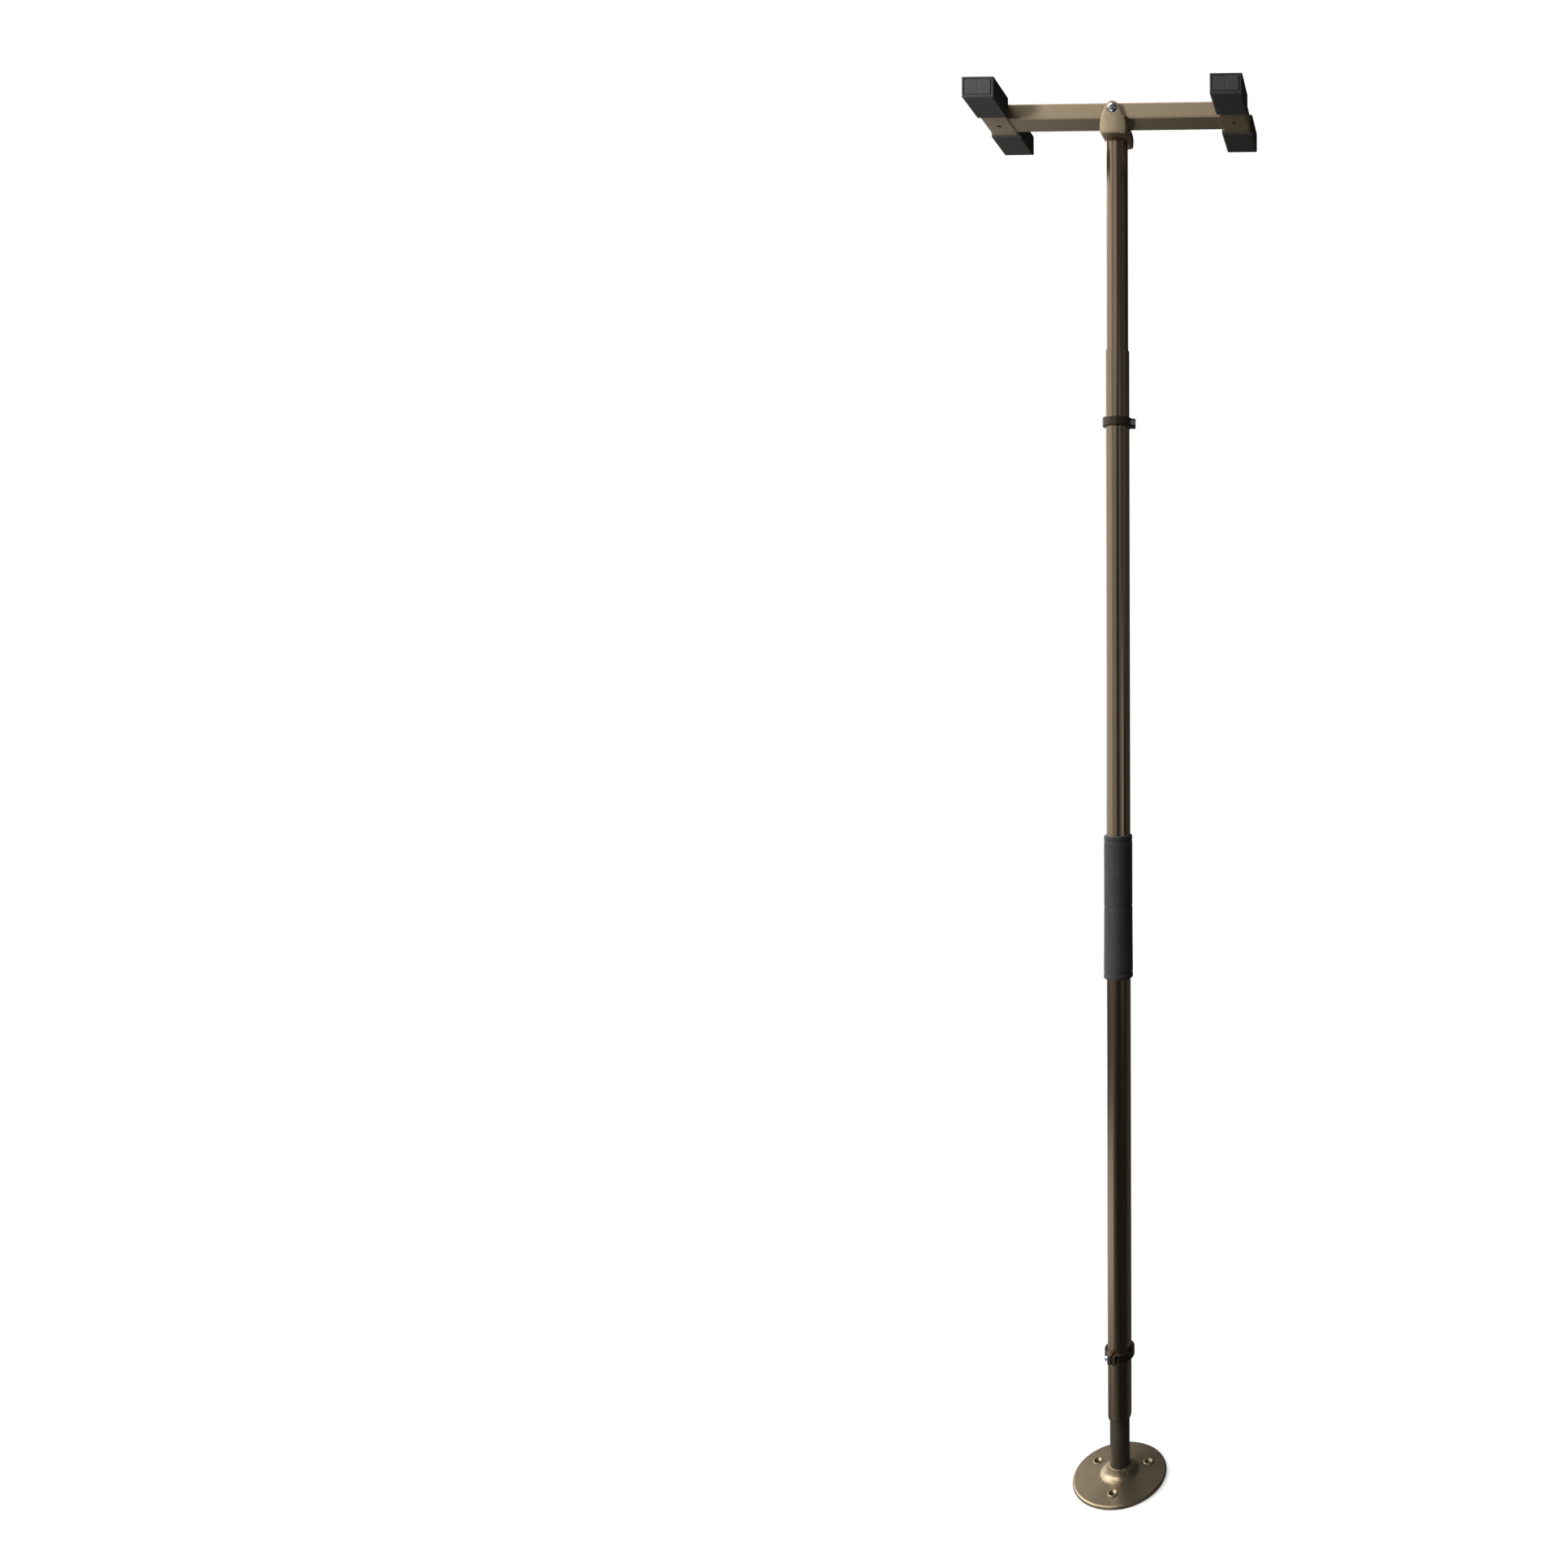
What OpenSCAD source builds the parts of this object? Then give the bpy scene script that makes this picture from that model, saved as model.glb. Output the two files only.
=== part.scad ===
// Floor to ceiling transfer pole: a telescoping tube between a floor flange and a tilting ceiling bar.
// Origin: centre of the floor pad's underside. X runs along the ceiling bar, Y away from the viewer, Z up.

/* [Floor flange] */
// Diameter of the floor flange
flange_d = 150; // [130:1:170]
// Thickness of the flange at its round rim
flange_rim_t = 6.5; // [5.5:0.1:8]
// Rise of the dished top from the rim to the hub
flange_dish_rise = 2.5; // [1:0.1:5]
// Height of the hub above the dish
hub_h = 14; // [13.5:0.1:20]
// Diameter at the top of the hub
hub_d = 35.6; // [35:0.1:40]
// Flare of the hub's side, from upright
hub_flare = 16; // [14:1:25]
// Radius of the fillet that blends the hub into the dish
hub_fillet_r = 16; // [8:0.1:16]
// Pitch circle of the floor screw holes
floor_hole_pcd = 96; // [88:1:110]
// Diameter of the floor screw holes
floor_hole_d = 6.5; // [5:0.1:7]
// Diameter of the countersinks
floor_sink_d = 12.5; // [11:0.1:13]
// Diameter over the raised lips round the screw holes
floor_lip_d = 16.5; // [15:0.1:18]
// Height of the raised lips
floor_lip_h = 1.2; // [0.6:0.1:1.6]
// Thickness of the non-slip pad
pad_t = 3; // [2.5:0.1:4]
// How far the pad stands below the flange
pad_proud = 1; // [0.5:0.1:1.5]
// Width of the flange rim that is left round the pad
pad_margin = 7; // [6:0.5:10]

/* [Jack] */
// Outside diameter of the jack tube
jack_d = 31.75; // [30:0.05:32]
// Wall of the jack tube
jack_wall = 2; // [1.5:0.1:2.5]
// Length of the jack tube inside the pole
jack_in_pole = 259; // [220:1:280]
// Diameter of the jack screw
screw_d = 16; // [12:0.5:18]
// Length of the jack screw below its bulkhead
screw_len = 240; // [200:1:260]
// Height of the bulkhead that holds the jack screw
bulkhead_h = 40; // [30:1:60]
// Space between the jack nut and the bulkhead
jack_room = 62; // [55:1:90]

/* [Pole] */
// Outside diameter of the pole
pole_d = 38.1; // [37.9:0.05:39]
// Wall of the pole
pole_wall = 1.2; // [1:0.05:1.3]
// Height of the pole's lower mouth above the floor
pole_foot_h = 101; // [85:1:130]
// Length of the lower half of the pole
lower_pole_len = 828; // [760:1:900]
// Length of the upper half of the pole
upper_pole_len = 902; // [880:1:960]
// Length of the sleeve that joins the two halves
joiner_len = 150; // [120:1:160]
// Wall of the joining sleeve
joiner_wall = 2; // [1.5:0.1:3]

/* [Clamp collars] */
// Height of a collar
collar_h = 14.2; // [13:0.1:22]
// Outside diameter of a collar
collar_d = 48; // [46.5:0.1:52]
// Width across the two lugs
lug_w = 14; // [13:0.1:20]
// Reach of the lugs from the pole's axis
lug_reach = 29; // [28.5:0.1:34]
// Slot between the lugs, and the slits in the tube ends
slit_w = 3; // [2:0.1:4]
// Distance from the lower mouth to the lower collar's middle
lower_collar_up = 104.5; // [70:0.5:110]
// Distance from the upper mouth to the upper collar's middle
upper_collar_down = 116.5; // [70:0.5:130]
// Direction of the lower collar's lugs, from +X
lower_lug_angle = -105; // [-180:1:180]
// Direction of the upper collar's lugs, from +X
upper_lug_angle = 18; // [-180:1:180]
// Diameter of the collar bolts
collar_bolt_d = 5; // [4:0.1:6]

/* [Padded grip] */
// Length of the grip
grip_len = 232; // [210:1:260]
// Diameter over the padding
grip_d = 47; // [45:0.1:50]
// Height of the hem at each end
hem_h = 9; // [7:0.5:12]
// Depth of the sewn lines
seam_depth = 0.9; // [0.5:0.1:2]
// Extra swell towards the lower end
grip_swell = 0.8; // [0:0.1:1.2]

/* [Upper tube] */
// Outside diameter of the upper tube
mast_d = 34.9; // [34.6:0.05:35.1]
// Wall of the upper tube
mast_wall = 1.2; // [1:0.05:1.5]
// Length of the upper tube that shows above the pole
mast_show = 341; // [200:1:500]
// Free travel of the upper tube, down to the joining sleeve
mast_room = 101; // [88:1:140]
// Height of the glide's foot below the upper tube
glide_foot_h = 20; // [12:1:20]

/* [Fork] */
// Width of the fork
fork_w = 42.5; // [40:0.1:46]
// Thickness of the web under the bar
fork_web_t = 12; // [9:0.1:13]
// Height of the pivot above the fork's underside
pivot_up = 40; // [38:0.1:46]
// Thickness of each ear at its middle
ear_t = 10.25; // [8:0.05:13]
// Radius of the ears' round ends
ear_top_r = 12.4; // [12:0.1:15]
// How far the middle of the round ends lies below the pivot
ear_drop = 2; // [0:0.1:2.5]
// Radius of the bulged ear faces
ear_bulge_r = 47; // [42:1:60]
// Diameter of the pivot bolt
pivot_d = 8; // [6:0.1:9]
// Length of the spigot inside the upper tube
spigot_len = 60; // [40:1:80]

/* [Ceiling bar] */
// Width of the rectangular tube
bar_w = 44.5; // [42:0.1:48]
// Height of the rectangular tube
bar_h = 25.4; // [23:0.1:27]
// Wall of the rectangular tube
bar_wall = 2; // [1.5:0.1:2.5]
// Outside corner radius of the rectangular tube
bar_corner_r = 3; // [2.6:0.1:4]
// Distance between the middles of the two crossbars
crossbar_pitch = 384; // [320:1:480]
// Length of a crossbar over its boots
crossbar_len = 200; // [185:1:240]
// Diameter of the ceiling screw holes
ceiling_hole_d = 6.5; // [5:0.1:8]
// Length of a boot
boot_len = 68; // [55:1:72]
// Wall of a boot at the sides
boot_wall = 3.2; // [2.6:0.1:4]
// Wall of a boot under the crossbar
boot_floor_t = 2.6; // [2:0.1:3.5]
// Thickness of the pad that meets the ceiling
boot_pad_t = 5; // [4:0.1:7]
// Thickness of a boot's closed end
boot_end_t = 4; // [3:0.1:6]

/* [Hidden] */
$fn = 96;

// Finishes
bronze = [0.42, 0.37, 0.30];
dark_bronze = [0.16, 0.14, 0.12];
steel = [0.70, 0.71, 0.73];
black_rubber = [0.10, 0.10, 0.10];
soft_black = [0.07, 0.07, 0.07];
nylon = [0.12, 0.12, 0.13];

// Clearances, and the overrun of every cut
fit_gap = 0.05;
run_gap = 0.08;
loose_gap = 0.3;
cut_over = 1;

// Fastener sizes as shares of the thread's diameter, and how far a bolt's end passes its nut
cap_head_share = 0.85;
cap_hex_share = 0.8;
dome_height_share = 0.6;
dome_hex_share = 0.65;
dome_floor_share = 0.35;
nut_corner_share = 0.93;
washer_share = 1;
bolt_end_past = 1.5;

// Radii that several pieces share
pole_r = pole_d / 2;
pole_in_r = pole_r - pole_wall;
jack_r = jack_d / 2;
jack_in_r = jack_r - jack_wall;
mast_r = mast_d / 2;
mast_in_r = mast_r - mast_wall;
pivot_r = pivot_d / 2;

// Heights of the floor flange
flange_z = pad_proud;
rim_top_z = flange_z + flange_rim_t;
dish_top_z = rim_top_z + flange_dish_rise;
hub_top_z = dish_top_z + hub_h;
flange_r = flange_d / 2;
rim_r = flange_rim_t / 2;
hub_r = hub_d / 2;
hub_edge_r = 0.9;
hub_side_h = hub_h - hub_edge_r;
hub_blend_h = hub_fillet_r * (1 - sin(hub_flare));
hub_blend_x = hub_r + (hub_fillet_r - (hub_fillet_r - hub_side_h) * sin(hub_flare)) / cos(hub_flare);
dish_slope = flange_dish_rise / (flange_r - rim_r - hub_blend_x);
lip_base_z = rim_top_z + (flange_r - rim_r - floor_hole_pcd / 2) * dish_slope;
pad_r = flange_r - pad_margin;
pad_hole_gap = 1;
pad_hole_d = floor_hole_d + 2 * pad_hole_gap;
floor_hole_count = 3;
floor_hole_first = 30;
socket_floor_t = 3;
thrust_t = 1.5;
socket_z = pad_t + socket_floor_t;
thrust_top_z = socket_z + thrust_t;
set_screw_d = 6;
set_screw_hex = 3;
set_screw_hex_depth = 2;
set_screw_angle = -48;
set_screw_share = 0.55;
set_screw_z = dish_top_z + set_screw_share * hub_h;

// Jack heights
jack_foot_z = thrust_top_z + run_gap;
jack_top_z = pole_foot_h + jack_in_pole;
nut_head_h = 8;
nut_plug_h = 26;
nut_top_z = jack_top_z + nut_head_h;
bulkhead_z = nut_top_z + jack_room;
screw_r = screw_d / 2;
bulkhead_pin_d = 5;

// Pole heights
bush_lip_t = 3;
bush_lip_in = 0.6;
bush_past_collar = 24;
bush_len = lower_collar_up + bush_past_collar;
joint_z = pole_foot_h + lower_pole_len;
pole_head_z = joint_z + upper_pole_len;
lower_collar_z = pole_foot_h + lower_collar_up;
upper_collar_z = pole_head_z - upper_collar_down;
slit_past_collar = 30;
lower_slit_len = lower_collar_up + slit_past_collar;
upper_slit_len = upper_collar_down + slit_past_collar;
lower_slit_angle = 60;
upper_slit_angle = 120;
joiner_screw_d = 6;
joiner_screw_hex = 3;
joiner_screw_hex_depth = 2;
joiner_screw_share = 0.3;
joiner_in_r = pole_in_r - fit_gap - joiner_wall;

// Collar sizes
collar_bore_r = pole_r + fit_gap;
collar_r = collar_d / 2;
collar_edge_r = 1.2;
collar_band_t = collar_r - collar_bore_r / 2;
collar_band_r = collar_r - collar_band_t / 2;
collar_bolt_r = collar_bolt_d / 2;
collar_bolt_x = lug_reach - collar_bolt_d - loose_gap;
collar_head_r = cap_head_share * collar_bolt_d;
collar_head_h = collar_bolt_d;
collar_hex = cap_hex_share * collar_bolt_d;
collar_bolt_short = 1;
collar_seat_r = collar_head_r + loose_gap;

// Grip profile: two padded halves between two hems
grip_z = joint_z - grip_len / 2;
grip_seam_r = grip_d / 2 - seam_depth;
grip_bore_r = pole_r + fit_gap;
grip_half_len = grip_len / 2 - hem_h;
grip_steps = 10;
grip_round_power = 6;

// Upper tube heights
mast_foot_z = joint_z + joiner_len / 2 + mast_room + glide_foot_h;
fork_z = pole_head_z + mast_show;
glide_stem_h = 40;
glide_wall = 5;

// Fork sizes
fork_gap_w = bar_w + 2 * loose_gap;
fork_half_y = fork_gap_w / 2 + ear_t;
ear_edge_r = 3;
fork_foot_r = 4;
ear_end_up = pivot_up - ear_drop;
ear_arc_rise = ear_end_up - fork_web_t;
ear_arc_inset = fork_w / 2 - ear_top_r;
ear_arc_r = (ear_arc_rise * ear_arc_rise + ear_arc_inset * ear_arc_inset) / (2 * ear_arc_inset);
fork_h = ear_end_up + ear_top_r;
spot_depth = 1.5;
spot_y = fork_half_y - spot_depth;
pivot_z = fork_z + pivot_up;
washer_r = washer_share * pivot_d;
washer_t = 1.5;
spot_r = washer_r + loose_gap;
pivot_head_r = pivot_d;
pivot_head_h = dome_height_share * pivot_d;
pivot_hex = dome_hex_share * pivot_d;
pivot_nut_r = nut_corner_share * pivot_d;
pivot_nut_h = pivot_d;
pivot_seat_y = spot_y + washer_t;
fork_pin_d = 6;
fork_pin_down = spigot_len / 2;
sleeve_wall = 3;

// Ceiling bar sizes
bar_in_corner_r = bar_corner_r - bar_wall;
crossbar_x = crossbar_pitch / 2;
crossbar_tube_len = crossbar_len - 2 * boot_end_t;
main_bar_len = crossbar_pitch - bar_w;
boot_w = bar_w + 2 * boot_wall;
boot_h = bar_h + boot_floor_t + boot_pad_t;
boot_z = pivot_z - bar_h / 2 - boot_floor_t;
boot_corner_r = 3;
boot_frame_w = 3.2;
boot_groove_w = 1.9;
boot_groove_depth = 1.6;
boot_panel_t = 3.4;
boot_panel_r = 1.6;
boot_split_r = 3;
boot_split_depth = 0.3;

// Rectangle with round corners, centred
module rounded_rect(width, height, corner_r) {
    square([width - 2 * corner_r, height], center = true);
    square([width, height - 2 * corner_r], center = true);
    for (side = [-1, 1], level = [-1, 1])
        translate([side * (width / 2 - corner_r), level * (height / 2 - corner_r)])
            circle(r = corner_r);
}

// Extrusions of a flat outline along Y (outline y becomes Z) and along X (outline x becomes Y)
module along_y(length) {
    rotate([90, 0, 0]) linear_extrude(height = length, center = true) children();
}

module along_x(length) {
    rotate([90, 0, 90]) linear_extrude(height = length, center = true) children();
}

// Round tube standing on its foot
module round_tube(outer_r, inner_r, length) {
    difference() {
        cylinder(r = outer_r, h = length);
        translate([0, 0, -cut_over]) cylinder(r = inner_r, h = length + 2 * cut_over);
    }
}

// Rectangular tube outline
module bar_outline() {
    difference() {
        rounded_rect(bar_w, bar_h, bar_corner_r);
        rounded_rect(bar_w - 2 * bar_wall, bar_h - 2 * bar_wall, bar_in_corner_r);
    }
}

// Slit with a drilled end, cut through one side of a tube wall from height 0 up to its length
module tube_slit(length, reach, angle) {
    rotate([0, 0, angle]) {
        translate([0, -slit_w / 2, -cut_over]) cube([reach, slit_w, length + cut_over]);
        translate([0, 0, length]) rotate([0, 90, 0]) cylinder(r = slit_w, h = reach);
    }
}

// Headless screw with a hexagon socket in its outer end, pointing along +X
module socket_screw(diameter, length, hex, hex_depth) {
    rotate([0, 90, 0])
        difference() {
            cylinder(d = diameter, h = length);
            translate([0, 0, length - hex_depth])
                cylinder(d = hex, h = hex_depth + cut_over, $fn = 6);
        }
}

// Floor flange

module flange_profile() {
    // Dished plate with a full round rim
    polygon([
        [0, flange_z], [flange_r - rim_r, flange_z], [flange_r - rim_r, rim_top_z],
        [hub_blend_x, dish_top_z], [0, dish_top_z]
    ]);
    translate([flange_r - rim_r, flange_z + rim_r]) circle(r = rim_r);
    // Softened top edge of the hub
    translate([0, dish_top_z]) square([hub_r - hub_edge_r, hub_h]);
    translate([hub_r - hub_edge_r, hub_top_z - hub_edge_r]) circle(r = hub_edge_r);
    // Flared side of the hub, with a concave blend into the dish
    translate([0, dish_top_z]) difference() {
        polygon([
            [0, 0], [hub_blend_x, 0], [hub_blend_x, hub_fillet_r],
            [hub_blend_x - hub_fillet_r * cos(hub_flare), hub_blend_h], [hub_r, hub_side_h], [0, hub_side_h]
        ]);
        translate([hub_blend_x, hub_fillet_r]) circle(r = hub_fillet_r);
    }
}

// Places of the floor screw holes
module at_floor_holes(height) {
    for (step = [0 : floor_hole_count - 1])
        rotate([0, 0, floor_hole_first + step * 360 / floor_hole_count])
            translate([floor_hole_pcd / 2, 0, height]) children();
}

module floor_holes(diameter, bottom_z, top_z) {
    at_floor_holes(bottom_z) cylinder(d = diameter, h = top_z - bottom_z);
}

// Low round-shouldered lips that the screw holes go through
module floor_lips() {
    lip_r = floor_lip_d / 2;
    at_floor_holes(lip_base_z) rotate_extrude() {
        translate([0, -floor_lip_h]) square([lip_r - floor_lip_h, 2 * floor_lip_h]);
        intersection() {
            translate([lip_r - floor_lip_h, 0]) circle(r = floor_lip_h);
            translate([0, -floor_lip_h]) square([lip_r, 2 * floor_lip_h]);
        }
    }
}

module floor_sinks() {
    sink_depth = (floor_sink_d - floor_hole_d) / 2;
    at_floor_holes(lip_base_z + floor_lip_h - sink_depth) {
        cylinder(d1 = floor_hole_d, d2 = floor_sink_d, h = sink_depth);
        translate([0, 0, sink_depth]) cylinder(d = floor_sink_d, h = cut_over);
    }
}

module floor_pad() {
    color(black_rubber)
        difference() {
            cylinder(r = pad_r - fit_gap, h = pad_t);
            floor_holes(pad_hole_d, -cut_over, pad_t + cut_over);
        }
}

module floor_flange() {
    color(bronze)
        difference() {
            union() {
                rotate_extrude() intersection() {
                    flange_profile();
                    translate([0, flange_z]) square([flange_r, hub_top_z]);
                }
                floor_lips();
            }
            cylinder(r = pad_r, h = pad_t);
            translate([0, 0, socket_z]) cylinder(r = jack_r + run_gap, h = hub_top_z);
            floor_holes(floor_hole_d, flange_z, hub_top_z);
            floor_sinks();
            rotate([0, 0, set_screw_angle]) translate([0, 0, set_screw_z]) rotate([0, 90, 0])
                cylinder(d = set_screw_d, h = hub_blend_x);
        }
}

module flange_set_screw() {
    tip_x = jack_r + loose_gap;
    color(dark_bronze)
        rotate([0, 0, set_screw_angle]) translate([tip_x, 0, set_screw_z])
            socket_screw(set_screw_d - 2 * fit_gap, hub_r - tip_x + hub_edge_r, set_screw_hex,
                set_screw_hex_depth);
}

module thrust_washer() {
    color(nylon)
        translate([0, 0, socket_z]) round_tube(jack_r - fit_gap, screw_r, thrust_t);
}

// Jack

module jack_tube() {
    color(dark_bronze)
        translate([0, 0, jack_foot_z]) round_tube(jack_r, jack_in_r, jack_top_z - jack_foot_z);
}

module jack_nut() {
    color(steel)
        difference() {
            union() {
                translate([0, 0, jack_top_z]) cylinder(r = pole_in_r - loose_gap, h = nut_head_h);
                translate([0, 0, jack_top_z - nut_plug_h])
                    cylinder(r = jack_in_r - fit_gap, h = nut_plug_h);
            }
            translate([0, 0, jack_top_z - nut_plug_h - cut_over])
                cylinder(r = screw_r + run_gap, h = nut_plug_h + nut_head_h + 2 * cut_over);
        }
}

module bulkhead_cross_hole(diameter, length) {
    translate([0, 0, bulkhead_z + bulkhead_h / 2]) rotate([90, 0, 0])
        cylinder(d = diameter, h = length, center = true);
}

module jack_screw() {
    color(steel)
        difference() {
            translate([0, 0, bulkhead_z - screw_len]) cylinder(r = screw_r, h = screw_len + bulkhead_h);
            bulkhead_cross_hole(bulkhead_pin_d + 2 * fit_gap, screw_d + 2 * cut_over);
        }
}

module jack_bulkhead() {
    color(steel)
        difference() {
            translate([0, 0, bulkhead_z])
                round_tube(pole_in_r - fit_gap, screw_r + fit_gap, bulkhead_h);
            bulkhead_cross_hole(bulkhead_pin_d + 2 * fit_gap, pole_d);
        }
}

module bulkhead_pin() {
    color(steel)
        bulkhead_cross_hole(bulkhead_pin_d, 2 * (pole_in_r - loose_gap));
}

// Pole

module lower_guide_bush() {
    color(nylon)
        translate([0, 0, pole_foot_h])
            difference() {
                union() {
                    round_tube(pole_in_r - fit_gap, jack_r + run_gap, bush_len);
                    round_tube(pole_r - bush_lip_in, jack_r + run_gap, bush_lip_t);
                }
                rotate([0, 0, lower_slit_angle]) translate([0, -slit_w / 2, bush_lip_t])
                    cube([pole_r, slit_w, bush_len]);
            }
}

module lower_pole_tube() {
    tube_z = pole_foot_h + bush_lip_t;
    color(bronze)
        translate([0, 0, tube_z])
            difference() {
                round_tube(pole_r, pole_in_r, joint_z - tube_z);
                tube_slit(lower_slit_len, pole_d, lower_slit_angle);
                joiner_holes(-tube_z);
            }
}

module upper_pole_tube() {
    color(bronze)
        difference() {
            translate([0, 0, joint_z]) round_tube(pole_r, pole_in_r, upper_pole_len);
            translate([0, 0, pole_head_z]) mirror([0, 0, 1])
                tube_slit(upper_slit_len, pole_d, upper_slit_angle);
            joiner_holes(0);
        }
}

// Places of the four joining screws: front and back, below and above the joint
module at_joiner_screws(shift_z) {
    for (level = [-1, 1], turn = [-90, 90])
        translate([0, 0, joint_z + shift_z + level * joiner_screw_share * joiner_len])
            rotate([0, 0, turn]) children();
}

module joiner_holes(shift_z) {
    at_joiner_screws(shift_z)
        rotate([0, 90, 0]) cylinder(d = joiner_screw_d + 2 * fit_gap, h = pole_d);
}

module pole_joiner() {
    color(steel)
        difference() {
            translate([0, 0, joint_z - joiner_len / 2])
                round_tube(pole_in_r - fit_gap, joiner_in_r, joiner_len);
            joiner_holes(0);
        }
}

module joiner_screws() {
    color(steel)
        at_joiner_screws(0)
            translate([joiner_in_r, 0, 0])
                socket_screw(joiner_screw_d, pole_r - joiner_in_r - pole_wall / 2, joiner_screw_hex,
                    joiner_screw_hex_depth);
}

// Clamp collars

// Split ring with two lugs; the far lug is tapped for the bolt
module clamp_collar() {
    difference() {
        union() {
            rotate_extrude()
                translate([collar_band_r, 0]) rounded_rect(collar_band_t, collar_h, collar_edge_r);
            intersection() {
                cylinder(r = lug_reach, h = collar_h, center = true);
                translate([0, -lug_w / 2, -collar_h / 2]) cube([lug_reach, lug_w, collar_h]);
            }
        }
        cylinder(r = collar_bore_r, h = collar_h + 2 * cut_over, center = true);
        translate([0, -slit_w / 2, -collar_h]) cube([lug_reach + cut_over, slit_w, 2 * collar_h]);
        translate([collar_bolt_x, 0, 0]) rotate([90, 0, 0])
            cylinder(d = collar_bolt_d + 2 * fit_gap, h = lug_w + 2 * cut_over, center = true);
        // Seat for the bolt's head, milled into the ring beside the near lug
        translate([collar_bolt_x, -(lug_w + collar_r) / 2, 0]) rotate([90, 0, 0])
            cylinder(r = collar_seat_r, h = collar_r, center = true);
    }
}

module clamp_bolt() {
    translate([collar_bolt_x, 0, 0]) rotate([90, 0, 0])
        difference() {
            union() {
                translate([0, 0, collar_bolt_short - lug_w / 2])
                    cylinder(r = collar_bolt_r, h = lug_w - collar_bolt_short);
                translate([0, 0, lug_w / 2]) cylinder(r = collar_head_r, h = collar_head_h);
            }
            translate([0, 0, lug_w / 2 + collar_head_h / 2])
                cylinder(d = collar_hex, h = collar_head_h, $fn = 6);
        }
}

module at_lower_collar() {
    translate([0, 0, lower_collar_z]) rotate([0, 0, lower_lug_angle]) children();
}

module at_upper_collar() {
    translate([0, 0, upper_collar_z]) rotate([0, 0, upper_lug_angle]) children();
}

module lower_collar() { color(dark_bronze) at_lower_collar() clamp_collar(); }
module lower_collar_bolt() { color(steel) at_lower_collar() clamp_bolt(); }
module upper_collar() { color(dark_bronze) at_upper_collar() clamp_collar(); }
module upper_collar_bolt() { color(steel) at_upper_collar() clamp_bolt(); }

// Padded grip

// Round-shouldered swell of one padded stretch, from 0 at its sewn edges to 1 over its middle
function pad_swell(share) = sqrt(1 - pow(abs(2 * share - 1), grip_round_power));

// Points up one stretch of the grip, from its lower sewn edge to its upper one
function stretch_points(low_z, length, rise_low, rise_high) = [
    for (step = [0 : grip_steps])
        let (share = step / grip_steps, rise = rise_low + share * (rise_high - rise_low))
            [grip_seam_r + pad_swell(share) * rise, low_z + share * length]
];

module padded_grip() {
    outline = concat(
        [[grip_bore_r, 0]],
        stretch_points(0, hem_h, seam_depth, seam_depth + grip_swell),
        stretch_points(hem_h, grip_half_len, seam_depth + grip_swell, seam_depth - grip_swell / 2),
        stretch_points(hem_h + grip_half_len, grip_half_len, seam_depth - grip_swell / 2, seam_depth),
        stretch_points(grip_len - hem_h, hem_h, seam_depth + grip_swell / 2, seam_depth),
        [[grip_bore_r, grip_len]]
    );
    color(soft_black)
        translate([0, 0, grip_z]) rotate_extrude() polygon(outline);
}

// Upper tube and fork

module upper_tube_glide() {
    color(nylon)
        difference() {
            union() {
                translate([0, 0, mast_foot_z - glide_foot_h - run_gap])
                    cylinder(r = pole_in_r - run_gap, h = glide_foot_h);
                translate([0, 0, mast_foot_z - glide_foot_h])
                    cylinder(r = mast_in_r - run_gap, h = glide_foot_h + glide_stem_h);
            }
            translate([0, 0, mast_foot_z - glide_foot_h - cut_over])
                cylinder(r = mast_in_r - glide_wall, h = glide_foot_h + glide_stem_h + 2 * cut_over);
        }
}

module fork_cross_hole(diameter, length) {
    translate([0, 0, fork_z - fork_pin_down]) rotate([0, 90, 0])
        cylinder(d = diameter, h = length, center = true);
}

module upper_tube() {
    color(bronze)
        difference() {
            translate([0, 0, mast_foot_z]) round_tube(mast_r, mast_in_r, fork_z - mast_foot_z);
            fork_cross_hole(fork_pin_d + 2 * fit_gap, mast_d + 2 * cut_over);
        }
}

// Front outline of the fork: two arcs draw the ears in from the web to the round pivot ends
module fork_front() {
    intersection() {
        ear_arcs();
        translate([0, ear_end_up / 2]) fork_blank();
    }
    translate([0, ear_end_up]) circle(r = ear_top_r);
}

// Lens between the two arcs
module ear_arcs() {
    intersection() {
        translate([ear_arc_r - fork_w / 2, fork_web_t]) circle(r = ear_arc_r);
        translate([fork_w / 2 - ear_arc_r, fork_web_t]) circle(r = ear_arc_r);
    }
}

// Plain blank of the fork, rounded at its lower corners
module fork_blank() {
    translate([0, fork_foot_r]) square([fork_w, ear_end_up - fork_foot_r * 2], center = true);
    rounded_rect(fork_w, ear_end_up, fork_foot_r);
}

// Round block whose side is the bulged face of one ear, with a softened lower edge
module ear_bulge(side) {
    translate([0, side * (fork_half_y - ear_bulge_r), 0]) rotate_extrude() {
        translate([0, ear_edge_r]) square([ear_bulge_r, fork_h - ear_edge_r]);
        square([ear_bulge_r - ear_edge_r, ear_edge_r]);
        intersection() {
            translate([ear_bulge_r - ear_edge_r, ear_edge_r]) circle(r = ear_edge_r);
            square([ear_bulge_r, ear_edge_r]);
        }
    }
}

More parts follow.
